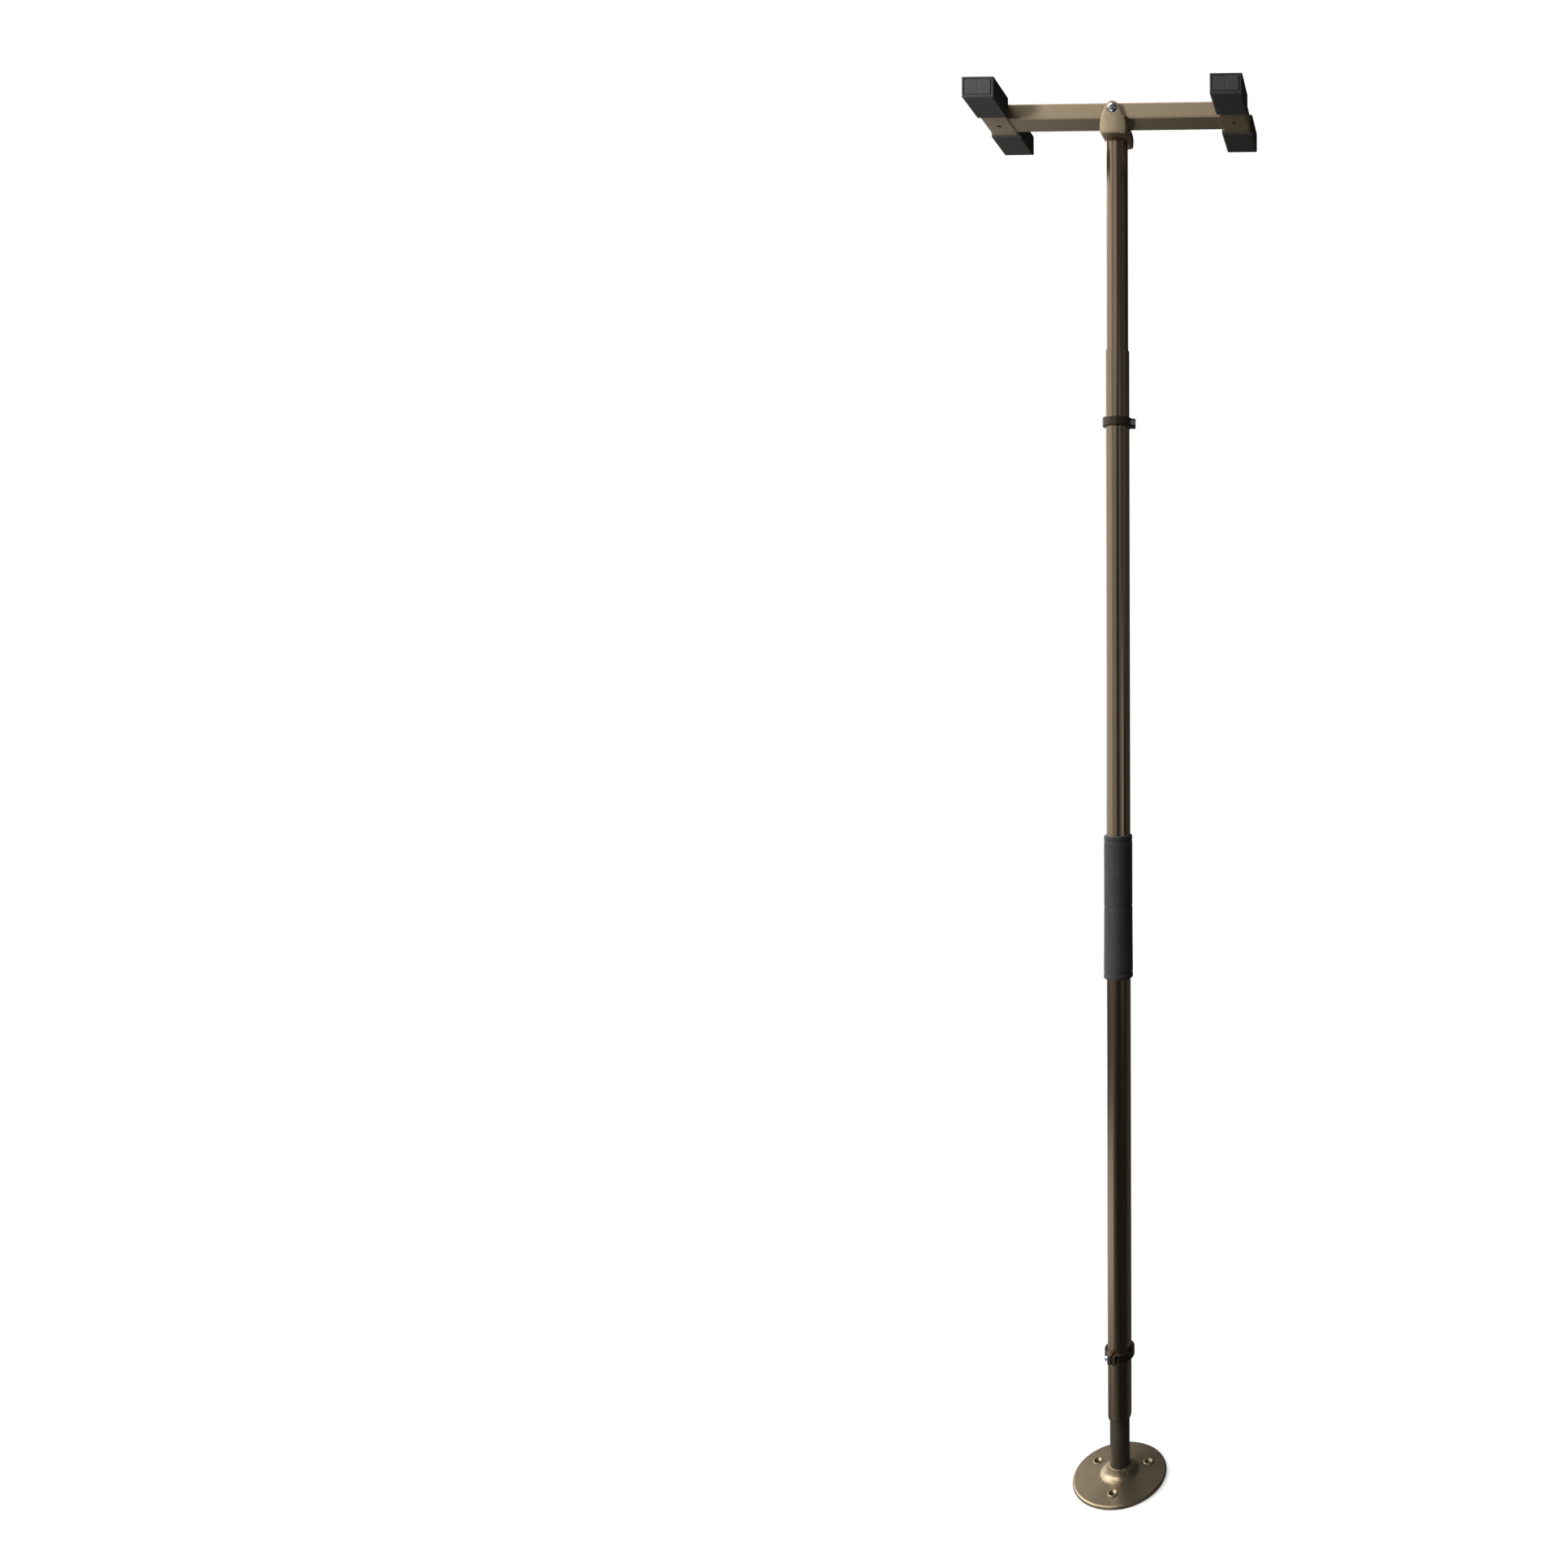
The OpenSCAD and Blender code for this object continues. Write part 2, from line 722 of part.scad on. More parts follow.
module fork() {
    color(bronze)
        difference() {
            union() {
                translate([0, 0, fork_z]) intersection() {
                    along_y(2 * fork_half_y) fork_front();
                    ear_bulge(-1);
                    ear_bulge(1);
                }
                translate([0, 0, fork_z - spigot_len])
                    cylinder(r = mast_in_r - fit_gap, h = spigot_len + fork_web_t / 2);
            }
            translate([-fork_w, -fork_gap_w / 2, fork_z + fork_web_t]) cube([2 * fork_w, fork_gap_w, fork_h]);
            translate([0, 0, pivot_z]) rotate([90, 0, 0])
                cylinder(r = pivot_r + fit_gap, h = 2 * fork_half_y + 2 * cut_over, center = true);
            for (side = [-1, 1])
                translate([0, side * (spot_y + ear_t / 2), pivot_z]) rotate([90, 0, 0])
                    cylinder(r = spot_r, h = ear_t, center = true);
            fork_cross_hole(fork_pin_d + 2 * fit_gap, mast_d + 2 * cut_over);
        }
}

module fork_pin() {
    color(dark_bronze)
        intersection() {
            fork_cross_hole(fork_pin_d, mast_d);
            translate([0, 0, fork_z - spigot_len]) cylinder(r = mast_r, h = spigot_len);
        }
}

module pivot_bolt() {
    cap_r = (pivot_head_r * pivot_head_r + pivot_head_h * pivot_head_h) / (2 * pivot_head_h);
    color(steel)
        translate([0, 0, pivot_z]) rotate([90, 0, 0])
            difference() {
                union() {
                    translate([0, 0, -pivot_seat_y - pivot_nut_h - bolt_end_past])
                        cylinder(r = pivot_r, h = 2 * pivot_seat_y + pivot_nut_h + bolt_end_past);
                    translate([0, 0, pivot_seat_y]) intersection() {
                        cylinder(r = pivot_head_r, h = pivot_head_h);
                        translate([0, 0, pivot_head_h - cap_r]) sphere(r = cap_r);
                    }
                }
                translate([0, 0, pivot_seat_y + dome_floor_share * pivot_head_h])
                    cylinder(d = pivot_hex, h = pivot_head_h, $fn = 6);
            }
}

module pivot_washers() {
    color(steel)
        for (side = [-1, 1])
            translate([0, side * (spot_y + washer_t / 2), pivot_z]) rotate([90, 0, 0])
                translate([0, 0, -washer_t / 2]) round_tube(washer_r, pivot_r + fit_gap, washer_t);
}

module pivot_nut() {
    color(steel)
        translate([0, pivot_seat_y + pivot_nut_h, pivot_z]) rotate([90, 0, 0])
            difference() {
                cylinder(r = pivot_nut_r, h = pivot_nut_h, $fn = 6);
                translate([0, 0, -cut_over]) cylinder(r = pivot_r + fit_gap, h = pivot_nut_h + 2 * cut_over);
            }
}

// Ceiling bar

module pivot_sleeve() {
    length = bar_w - 2 * bar_wall;
    color(steel)
        translate([0, length / 2, pivot_z]) rotate([90, 0, 0])
            round_tube(pivot_r + run_gap + sleeve_wall, pivot_r + run_gap, length);
}

module main_bar() {
    color(bronze)
        translate([0, 0, pivot_z])
            difference() {
                along_x(main_bar_len) bar_outline();
                rotate([90, 0, 0]) cylinder(r = pivot_r + run_gap, h = bar_w + 2 * cut_over, center = true);
            }
}

module crossbar(side) {
    color(bronze)
        translate([side * crossbar_x, 0, pivot_z])
            difference() {
                along_y(crossbar_tube_len) bar_outline();
                cylinder(d = ceiling_hole_d, h = bar_h + 2 * cut_over, center = true);
            }
}

module left_crossbar() { crossbar(-1); }
module right_crossbar() { crossbar(1); }

// Block with all its edges round, centred
module rounded_block(width, length, height, corner_r) {
    intersection() {
        along_y(length) rounded_rect(width, height, corner_r);
        along_x(width) rounded_rect(length, height, corner_r);
        linear_extrude(height = height, center = true) rounded_rect(width, length, corner_r);
    }
}

// Rubber boot over a crossbar's end; end is -1 at the front and 1 at the rear.
// Its end face has a grooved frame round a raised panel that is lightly split down its middle.
module boot(side, end) {
    boot_y = end * (crossbar_len - boot_len) / 2;
    end_y = end * crossbar_len / 2;
    recess_w = boot_w - 2 * boot_frame_w;
    recess_h = boot_h - 2 * boot_frame_w;
    color(black_rubber)
        translate([side * crossbar_x, 0, boot_z]) {
            difference() {
                translate([0, boot_y, boot_h / 2]) rounded_block(boot_w, boot_len, boot_h, boot_corner_r);
                translate([0, 0, boot_floor_t + bar_h / 2])
                    along_y(crossbar_tube_len) rounded_rect(bar_w, bar_h, bar_corner_r);
                translate([0, end_y, boot_h / 2])
                    along_y(2 * boot_groove_depth) rounded_rect(recess_w, recess_h, boot_panel_r);
            }
            translate([0, end_y, boot_h / 2]) difference() {
                translate([0, -end * boot_panel_t / 2, 0])
                    rounded_block(recess_w - 2 * boot_groove_w, boot_panel_t, recess_h - 2 * boot_groove_w,
                        boot_panel_r);
                translate([0, end * (boot_split_r - boot_split_depth), 0])
                    cylinder(r = boot_split_r, h = boot_h, center = true);
            }
        }
}

module left_front_boot() { boot(-1, -1); }
module left_rear_boot() { boot(-1, 1); }
module right_front_boot() { boot(1, -1); }
module right_rear_boot() { boot(1, 1); }

floor_pad();
floor_flange();
flange_set_screw();
thrust_washer();
jack_tube();
jack_nut();
jack_screw();
jack_bulkhead();
bulkhead_pin();
lower_guide_bush();
lower_pole_tube();
pole_joiner();
joiner_screws();
upper_pole_tube();
lower_collar();
lower_collar_bolt();
upper_collar();
upper_collar_bolt();
padded_grip();
upper_tube_glide();
upper_tube();
fork();
fork_pin();
pivot_bolt();
pivot_washers();
pivot_nut();
pivot_sleeve();
main_bar();
left_crossbar();
right_crossbar();
left_front_boot();
left_rear_boot();
right_front_boot();
right_rear_boot();
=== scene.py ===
from math import cos, pi, radians, sin

import bpy
import numpy as np
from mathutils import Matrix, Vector


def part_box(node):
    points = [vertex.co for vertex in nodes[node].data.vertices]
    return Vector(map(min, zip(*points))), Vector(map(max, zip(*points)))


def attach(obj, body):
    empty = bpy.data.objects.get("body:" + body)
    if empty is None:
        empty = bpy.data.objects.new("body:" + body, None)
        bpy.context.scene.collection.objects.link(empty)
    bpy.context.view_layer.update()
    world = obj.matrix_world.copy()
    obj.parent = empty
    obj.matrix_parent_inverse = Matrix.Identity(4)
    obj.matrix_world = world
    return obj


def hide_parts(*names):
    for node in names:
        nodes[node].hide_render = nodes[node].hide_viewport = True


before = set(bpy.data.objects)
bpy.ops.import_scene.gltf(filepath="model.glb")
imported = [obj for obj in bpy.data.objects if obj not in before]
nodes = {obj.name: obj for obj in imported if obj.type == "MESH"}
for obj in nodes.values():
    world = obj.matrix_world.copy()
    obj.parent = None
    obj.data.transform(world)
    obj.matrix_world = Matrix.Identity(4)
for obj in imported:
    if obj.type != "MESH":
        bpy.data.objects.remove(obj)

scene = bpy.context.scene
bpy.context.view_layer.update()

# the camera stands where the photo was taken from, with the lens axis well to the right of the pole
cameraSet = {
    "frameSide": 1932,               # pixels
    "focalLength": 1385.0,           # pixels
    "lensCentre": (1673.2, 817.4),   # pixels from the top left corner
    "place": (0.4328, -1.8186, 1.3225),
    "yaw": 1.339,
    "roll": 0.132,
    "sensor": 36.0,
}


def placeCamera(values):
    lens = bpy.data.cameras.new("photoCamera")
    lens.sensor_width = values["sensor"]
    lens.lens = values["focalLength"] / values["frameSide"] * values["sensor"]
    lens.shift_x = 0.5 - values["lensCentre"][0] / values["frameSide"]
    lens.shift_y = values["lensCentre"][1] / values["frameSide"] - 0.5
    camera = bpy.data.objects.new("photoCamera", lens)
    camera.location = values["place"]
    camera.rotation_euler = (radians(90), radians(values["roll"]), radians(values["yaw"]))
    scene.collection.objects.link(camera)
    scene.camera = camera


placeCamera(cameraSet)
scene.view_settings.view_transform = "Standard"
print("camera placed")


# node helpers: each returns the output socket of the node that it adds
def setInput(tree, socket, value):
    if isinstance(value, bpy.types.NodeSocket):
        tree.links.new(value, socket)
    else:
        socket.default_value = value


def mathNode(tree, operation, first, second=0.0):
    node = tree.nodes.new("ShaderNodeMath")
    node.operation = operation
    setInput(tree, node.inputs[0], first)
    setInput(tree, node.inputs[1], second)
    return node.outputs[0]


def rangeNode(tree, value, fromLow, fromHigh, toLow=0.0, toHigh=1.0, smooth=False):
    node = tree.nodes.new("ShaderNodeMapRange")
    node.interpolation_type = "SMOOTHSTEP" if smooth else "LINEAR"
    for label, number in zip(("Value", "From Min", "From Max", "To Min", "To Max"),
                             (value, fromLow, fromHigh, toLow, toHigh)):
        setInput(tree, node.inputs[label], number)
    return node.outputs[0]


def mixColours(tree, mask, first, second):
    node = tree.nodes.new("ShaderNodeMix")
    node.data_type = "RGBA"   # its colours are inputs 6 and 7 and output 2
    setInput(tree, node.inputs[0], mask)
    setInput(tree, node.inputs[6], first if isinstance(first, bpy.types.NodeSocket) else (*first, 1))
    setInput(tree, node.inputs[7], second if isinstance(second, bpy.types.NodeSocket) else (*second, 1))
    return node.outputs[2]


def noiseNode(tree, vector, scale, detail=2.0, roughness=0.5):
    node = tree.nodes.new("ShaderNodeTexNoise")
    for label, value in zip(("Vector", "Scale", "Detail", "Roughness"), (vector, scale, detail, roughness)):
        setInput(tree, node.inputs[label], value)
    return node.outputs[0]


def splitNode(tree, vector):
    node = tree.nodes.new("ShaderNodeSeparateXYZ")
    setInput(tree, node.inputs[0], vector)
    return node.outputs


def newMaterial(name, **values):
    material = bpy.data.materials.new(name)
    material.use_nodes = True
    tree = material.node_tree
    shader = tree.nodes["Principled BSDF"]
    for label, value in values.items():
        shader.inputs[label.replace("_", " ")].default_value = value
    return material, tree, shader, tree.nodes.new("ShaderNodeTexCoord").outputs["Object"]


# the room as the coats mirror it: each panel is a soft-edged patch of the sky dome,
# azimuth 0 lies towards the camera, -90 to the left; the camera itself sees plain white
roomSet = {
    "ambient": 0.022,
    "tint": (1.0, 0.985, 0.96),
    "matShare": 0.35,   # how much of the room reaches the matt faces, which the lamps light
    "columns": ("azimuth", "half", "soft", "low", "high", "fade", "light"),
    # degrees; soft is the fade at the sides, fade the one above and below; a high of 95 has no upper edge
    "panels": {
        "leftWall": (-100, 52, 6, -11.5, 95, 3, 0.70),
        "leftFront": (-25, 24, 6, -11.5, 95, 3, 0.33),
        "overCamera": (-2, 14, 4, 13, 28, 3, 0.27),
        "slimWindow": (55, 9, 4, -12, 0, 3, 0.52),
        "stripEnd": (36, 4, 3, 8, 15, 1.5, 0.20),
        "besideWindow": (33, 9, 4, -12, 13.5, 2, 0.19),
        "farRight": (76, 18, 5, 0, 13, 4, 0.10),
        "rightHigh": (60, 44, 8, 14, 95, 3, 0.05),
        "litFloor": (-82, 38, 5, -30.2, -22.3, 1, 0.66),
        "dimFloor": (-70, 50, 6, -50, -9, 4, 0.07),
        "leftWindow": (-84, 32, 8, 31, 62, 4, 2.1),
        "frontHigh": (-30, 24, 8, 46, 80, 5, 2.4),
        "backLeft": (-122, 32, 8, 24, 66, 4, 1.5),
        "backWall": (-144, 20, 8, -6, 26, 5, 0.9),
        "backRight": (132, 38, 10, -60, 14, 5, 0.05),
        "backFloor": (-146, 16, 8, -45, -15, 4, 0.8),
        "frontFloor": (-42, 42, 12, -75, -39, 3, 0.9),
    },
}


def roomPanel(tree, flatDirection, rise, panel):
    # cosine of the turn away from the panel's middle, and sine of the rise, each stepped softly
    facing = tree.nodes.new("ShaderNodeVectorMath")
    facing.operation = "DOT_PRODUCT"
    turn = radians(panel["azimuth"])
    setInput(tree, facing.inputs[0], flatDirection)
    facing.inputs[1].default_value = (sin(turn), -cos(turn), 0)
    half, soft = panel["half"], panel["soft"]
    low, high, fade = panel["low"], panel["high"], panel["fade"]
    across = rangeNode(tree, facing.outputs["Value"], cos(radians(half + soft)), cos(radians(half - soft)),
                       smooth=True)
    above = rangeNode(tree, rise, sin(radians(low - fade)), sin(radians(low + fade)), smooth=True)
    patch = mathNode(tree, "MULTIPLY", across, above)
    if high < 90:
        below = rangeNode(tree, rise, sin(radians(high - fade)), sin(radians(high + fade)), 1, 0, smooth=True)
        patch = mathNode(tree, "MULTIPLY", patch, below)
    return mathNode(tree, "MULTIPLY", patch, panel["light"])


def buildRoom(values):
    world = bpy.data.worlds.new("softRoom")
    world.use_nodes = True
    scene.world = world
    tree = world.node_tree
    direction = tree.nodes.new("ShaderNodeTexCoord").outputs["Generated"]
    x, y, rise = splitNode(tree, direction)
    flat = tree.nodes.new("ShaderNodeCombineXYZ")
    setInput(tree, flat.inputs[0], x)
    setInput(tree, flat.inputs[1], y)
    level = tree.nodes.new("ShaderNodeVectorMath")
    level.operation = "NORMALIZE"
    setInput(tree, level.inputs[0], flat.outputs[0])
    light = values["ambient"]
    for row in values["panels"].values():
        panel = dict(zip(values["columns"], row))
        light = mathNode(tree, "ADD", roomPanel(tree, level.outputs[0], rise, panel), light)
    room = tree.nodes["Background"]
    paths = tree.nodes.new("ShaderNodeLightPath").outputs
    share = rangeNode(tree, paths["Is Diffuse Ray"], 0, 1, 1, values["matShare"])
    setInput(tree, room.inputs["Strength"], mathNode(tree, "MULTIPLY", light, share))
    room.inputs["Color"].default_value = (*values["tint"], 1)
    paper = tree.nodes.new("ShaderNodeBackground")
    paper.inputs["Color"].default_value = (1, 1, 1, 1)
    choose = tree.nodes.new("ShaderNodeMixShader")
    for socket, value in zip(choose.inputs, (paths["Is Camera Ray"], room.outputs[0], paper.outputs[0])):
        setInput(tree, socket, value)
    tree.links.new(choose.outputs[0], tree.nodes["World Output"].inputs["Surface"])


lampSet = {   # they light the matt faces; the coats mirror the room instead; spread in degrees
    "topSoftbox": {"place": (-0.60, -0.85, 2.14), "aim": (-0.1, 0, 2.18), "size": (0.2, 0.2), "power": 10,
                   "spread": 150},
    "leftSoftbox": {"place": (-1.9, -2.3, 3.0), "aim": (0, 0, 0.6), "size": (0.6, 0.6), "power": 4.5,
                    "spread": 42},
    "sideSoftbox": {"place": (-2.6, -1.2, 1.9), "aim": (0, 0, 0.6), "size": (0.6, 0.8), "power": 11,
                    "spread": 60},
}


def hangLamps(values):
    for name, lamp in values.items():
        light = bpy.data.lights.new(name, "AREA")
        light.shape = "RECTANGLE"
        light.size, light.size_y = lamp["size"]
        light.energy = lamp["power"]
        light.spread = radians(lamp["spread"])
        holder = bpy.data.objects.new(name, light)
        holder.location = lamp["place"]
        aim = Vector(lamp["aim"]) - Vector(lamp["place"])
        holder.rotation_euler = aim.to_track_quat("-Z", "Y").to_euler()
        holder.visible_glossy = False
        scene.collection.objects.link(holder)


floorSet = {"reach": 14.0, "fadeFrom": 0.14, "fadeTo": 0.6, "tone": (0.62, 0.62, 0.615), "glow": 0.62,
            "bounce": (0.26, 0.25, 0.23), "speckScale": 38.0, "speckTone": 0.985}


def layFloor(values):
    # a level square that fades into the white room with distance from the pole; only the camera sees
    # its glow, and it throws less light back up at the pole than the camera sees on it
    reach = values["reach"]
    mesh = bpy.data.meshes.new("floor")
    corners = np.array([(-1, -1, 0), (1, -1, 0), (1, 1, 0), (-1, 1, 0)]) * reach
    mesh.from_pydata(corners.tolist(), [], [(0, 1, 2, 3)])
    floor = bpy.data.objects.new("floor", mesh)
    floor.visible_glossy = False
    scene.collection.objects.link(floor)
    material, tree, shader, place = newMaterial("paleFloor", Roughness=0.8, Specular_IOR_Level=0.1)
    speck = noiseNode(tree, place, values["speckScale"], detail=4.0)
    tone = np.array(values["tone"])
    pale = mixColours(tree, speck, tuple(tone), tuple(tone * values["speckTone"]))
    seen = tree.nodes.new("ShaderNodeLightPath").outputs["Is Camera Ray"]
    setInput(tree, shader.inputs["Base Color"], mixColours(tree, seen, values["bounce"], pale))
    shader.inputs["Emission Color"].default_value = (1, 1, 1, 1)
    setInput(tree, shader.inputs["Emission Strength"], mathNode(tree, "MULTIPLY", seen, values["glow"]))
    away = tree.nodes.new("ShaderNodeVectorMath")
    away.operation = "LENGTH"
    setInput(tree, away.inputs[0], place)
    fade = rangeNode(tree, away.outputs["Value"], values["fadeFrom"], values["fadeTo"], smooth=True)
    paper = tree.nodes.new("ShaderNodeEmission")
    setInput(tree, paper.inputs["Strength"], seen)
    blend = tree.nodes.new("ShaderNodeMixShader")
    far = mathNode(tree, "MULTIPLY", fade, seen)
    for socket, value in zip(blend.inputs, (far, shader.outputs[0], paper.outputs[0])):
        setInput(tree, socket, value)
    # clear when looked at from below, so that the flange's underside can be seen
    below = tree.nodes.new("ShaderNodeMixShader")
    clear = tree.nodes.new("ShaderNodeBsdfTransparent")
    behind = tree.nodes.new("ShaderNodeNewGeometry").outputs["Backfacing"]
    for socket, value in zip(below.inputs, (behind, blend.outputs[0], clear.outputs[0])):
        setInput(tree, socket, value)
    tree.links.new(below.outputs[0], tree.nodes["Material Output"].inputs["Surface"])
    mesh.materials.append(material)


buildRoom(roomSet)
hangLamps(lampSet)
layFloor(floorSet)
print("room, lamps and floor set")


# shared surface effects, each one node group
def newGroup(name, inputs, outputs):
    group = bpy.data.node_groups.new(name, "ShaderNodeTree")
    group.interface.new_socket(name="Vector", in_out="INPUT", socket_type="NodeSocketVector")
    for label, value in inputs.items():
        socket = group.interface.new_socket(name=label, in_out="INPUT", socket_type="NodeSocketFloat")
        socket.default_value = value
    for label in outputs:
        group.interface.new_socket(name=label, in_out="OUTPUT", socket_type="NodeSocketFloat")
    return group, group.nodes.new("NodeGroupInput").outputs, group.nodes.new("NodeGroupOutput").inputs


def makeCoatGrain():
    # sprayed coat: soft waves in the skin, and small flakes of random brightness
    group, given, result = newGroup("coatGrain", {"Wave Scale": 500.0, "Flake Scale": 1800.0},
                                    ("Waves", "Flakes"))
    setInput(group, result["Waves"], noiseNode(group, given["Vector"], given["Wave Scale"]))
    cells = group.nodes.new("ShaderNodeTexVoronoi")
    setInput(group, cells.inputs["Vector"], given["Vector"])
    setInput(group, cells.inputs["Scale"], given["Flake Scale"])
    tint = group.nodes.new("ShaderNodeSeparateColor")
    setInput(group, tint.inputs[0], cells.outputs["Color"])
    setInput(group, result["Flakes"], tint.outputs[0])
    return group


rubSet = {"broad": 0.72, "fine": 0.28, "finer": 16.0}


def makeHandRub(values):
    # broad patches broken up by finer ones, where hands and cloths have passed
    group, given, result = newGroup("handRub", {"Scale": 9.0, "Low": 0.5, "High": 0.75}, ("Rub",))
    broad = noiseNode(group, given["Vector"], given["Scale"], detail=4.0, roughness=0.6)
    fineScale = mathNode(group, "MULTIPLY", given["Scale"], values["finer"])
    fine = noiseNode(group, given["Vector"], fineScale, detail=3.0, roughness=0.6)
    both = mathNode(group, "ADD", mathNode(group, "MULTIPLY", broad, values["broad"]),
                    mathNode(group, "MULTIPLY", fine, values["fine"]))
    setInput(group, result["Rub"], rangeNode(group, both, given["Low"], given["High"], smooth=True))
    return group


dustSet = {"level": (0.55, 1.0), "patches": (0.35, 0.7)}


def makeSettledDust(values):
    # what lies on faces that look upwards, in uneven patches
    group, given, result = newGroup("settledDust", {"Scale": 60.0, "Amount": 0.3}, ("Dust",))
    up = splitNode(group, group.nodes.new("ShaderNodeNewGeometry").outputs["Normal"])[2]
    level = rangeNode(group, up, *values["level"], smooth=True)
    cloud = noiseNode(group, given["Vector"], given["Scale"], detail=5.0, roughness=0.65)
    lying = mathNode(group, "MULTIPLY", level, rangeNode(group, cloud, *values["patches"]))
    setInput(group, result["Dust"], mathNode(group, "MULTIPLY", lying, given["Amount"]))
    return group


def makeToolMarks():
    # fine parallel lines along Z, uneven in depth, as a lathe or a drawing die leaves them
    group, given, result = newGroup("toolMarks", {"Lines": 900.0, "Along": 0.02}, ("Marks",))
    x, y, z = splitNode(group, given["Vector"])
    squeeze = group.nodes.new("ShaderNodeCombineXYZ")
    for socket, value in zip(squeeze.inputs, (x, y, mathNode(group, "MULTIPLY", z, given["Along"]))):
        setInput(group, socket, value)
    lines = noiseNode(group, squeeze.outputs[0], given["Lines"], detail=3.0, roughness=0.55)
    setInput(group, result["Marks"], lines)
    return group


effects = {"coatGrain": makeCoatGrain(), "handRub": makeHandRub(rubSet),
           "settledDust": makeSettledDust(dustSet), "toolMarks": makeToolMarks()}
print("effects built:", ", ".join(effects))


def useEffect(tree, name, vector, **values):
    node = tree.nodes.new("ShaderNodeGroup")
    node.node_tree = effects[name]
    setInput(tree, node.inputs["Vector"], vector)
    for label, value in values.items():
        setInput(tree, node.inputs[label.replace("_", " ")], value)
    return node.outputs


def addBump(tree, shader, height, depth):
    bump = tree.nodes.new("ShaderNodeBump")
    bump.inputs["Distance"].default_value = depth
    setInput(tree, bump.inputs["Height"], height)
    tree.links.new(bump.outputs[0], shader.inputs["Normal"])
    return bump


tubeSet = {"deep": (0.36, 0.281, 0.198), "bright": (0.44, 0.343, 0.242), "rubbed": (0.46, 0.37, 0.27),
           "dust": (0.40, 0.36, 0.30), "rough": (0.19, 0.155), "metallic": 1.0,
           "waveScale": 160.0, "waveDepth": 0.000006, "dustAmount": 0.08}
barSet = {"deep": (0.24, 0.186, 0.118), "bright": (0.42, 0.335, 0.222), "rubbed": (0.46, 0.385, 0.28),
          "dust": (0.42, 0.38, 0.32), "rough": (0.37, 0.31), "metallic": 0.55,
          "waveScale": 620.0, "waveDepth": 0.00002, "dustAmount": 0.10}
castSet = {"deep": (0.27, 0.212, 0.137), "bright": (0.46, 0.37, 0.25), "rubbed": (0.50, 0.42, 0.31),
           "dust": (0.45, 0.41, 0.35), "rough": (0.29, 0.25), "metallic": 0.92,
           "waveScale": 520.0, "waveDepth": 0.00003, "dustAmount": 0.10}
jackSet = {"deep": (0.066, 0.054, 0.041), "bright": (0.092, 0.075, 0.057), "rubbed": (0.12, 0.10, 0.078),
           "dust": (0.20, 0.18, 0.15), "rough": (0.36, 0.30), "metallic": 0.55,
           "waveScale": 160.0, "waveDepth": 0.000006, "dustAmount": 0.08}
collarSet = {"deep": (0.082, 0.069, 0.053), "bright": (0.125, 0.105, 0.081), "rubbed": (0.16, 0.137, 0.108),
             "dust": (0.24, 0.215, 0.175), "rough": (0.29, 0.25), "metallic": 0.95,
             "waveScale": 300.0, "waveDepth": 0.00001, "dustAmount": 0.08}
# soften: metres over which the casting's shading is smoothed
forkSet = {**castSet, "rough": (0.36, 0.30), "metallic": 0.6, "soften": 0.004}
# what all the coats share
coatMix = {"flakes": (0.35, 0.75), "rubShare": 0.3, "dustRough": 0.3}


def makeCoat(name, values):
    material, tree, shader, place = newMaterial(name, Metallic=values["metallic"])
    grain = useEffect(tree, "coatGrain", place, Wave_Scale=values["waveScale"])
    rub = useEffect(tree, "handRub", place)["Rub"]
    dust = useEffect(tree, "settledDust", place, Amount=values["dustAmount"])["Dust"]
    flakes = rangeNode(tree, grain["Flakes"], 0, 1, *coatMix["flakes"])
    flaked = mixColours(tree, flakes, values["deep"], values["bright"])
    rubbed = mixColours(tree, mathNode(tree, "MULTIPLY", rub, coatMix["rubShare"]), flaked, values["rubbed"])
    setInput(tree, shader.inputs["Base Color"], mixColours(tree, dust, rubbed, values["dust"]))
    rough = rangeNode(tree, rub, 0, 1, *values["rough"])
    dulled = mathNode(tree, "ADD", rough, mathNode(tree, "MULTIPLY", dust, coatMix["dustRough"]))
    setInput(tree, shader.inputs["Roughness"], dulled)
    bump = addBump(tree, shader, grain["Waves"], values["waveDepth"])
    if "soften" in values:
        smooth = tree.nodes.new("ShaderNodeBevel")
        smooth.samples = 8
        smooth.inputs["Radius"].default_value = values["soften"]
        tree.links.new(smooth.outputs[0], bump.inputs["Normal"])
    return material


metalSet = {
    "brightSteel": {"deep": (0.50, 0.53, 0.58), "bright": (0.76, 0.80, 0.86), "rough": (0.16, 0.26),
                    "depth": 0.00001},
    "plainSteel": {"deep": (0.36, 0.36, 0.36), "bright": (0.60, 0.60, 0.60), "rough": (0.24, 0.42),
                   "depth": 0.00003},
    "blackSteel": {"deep": (0.012, 0.012, 0.013), "bright": (0.045, 0.045, 0.05), "rough": (0.28, 0.46),
                   "depth": 0.00002},
}


def makeMetal(name, values):
    material, tree, shader, place = newMaterial(name, Metallic=0.97)
    marks = useEffect(tree, "toolMarks", place)["Marks"]
    rub = useEffect(tree, "handRub", place, Scale=30.0)["Rub"]
    setInput(tree, shader.inputs["Base Color"], mixColours(tree, marks, values["deep"], values["bright"]))
    setInput(tree, shader.inputs["Roughness"], rangeNode(tree, rub, 0, 1, *values["rough"]))
    addBump(tree, shader, marks, values["depth"])
    return material


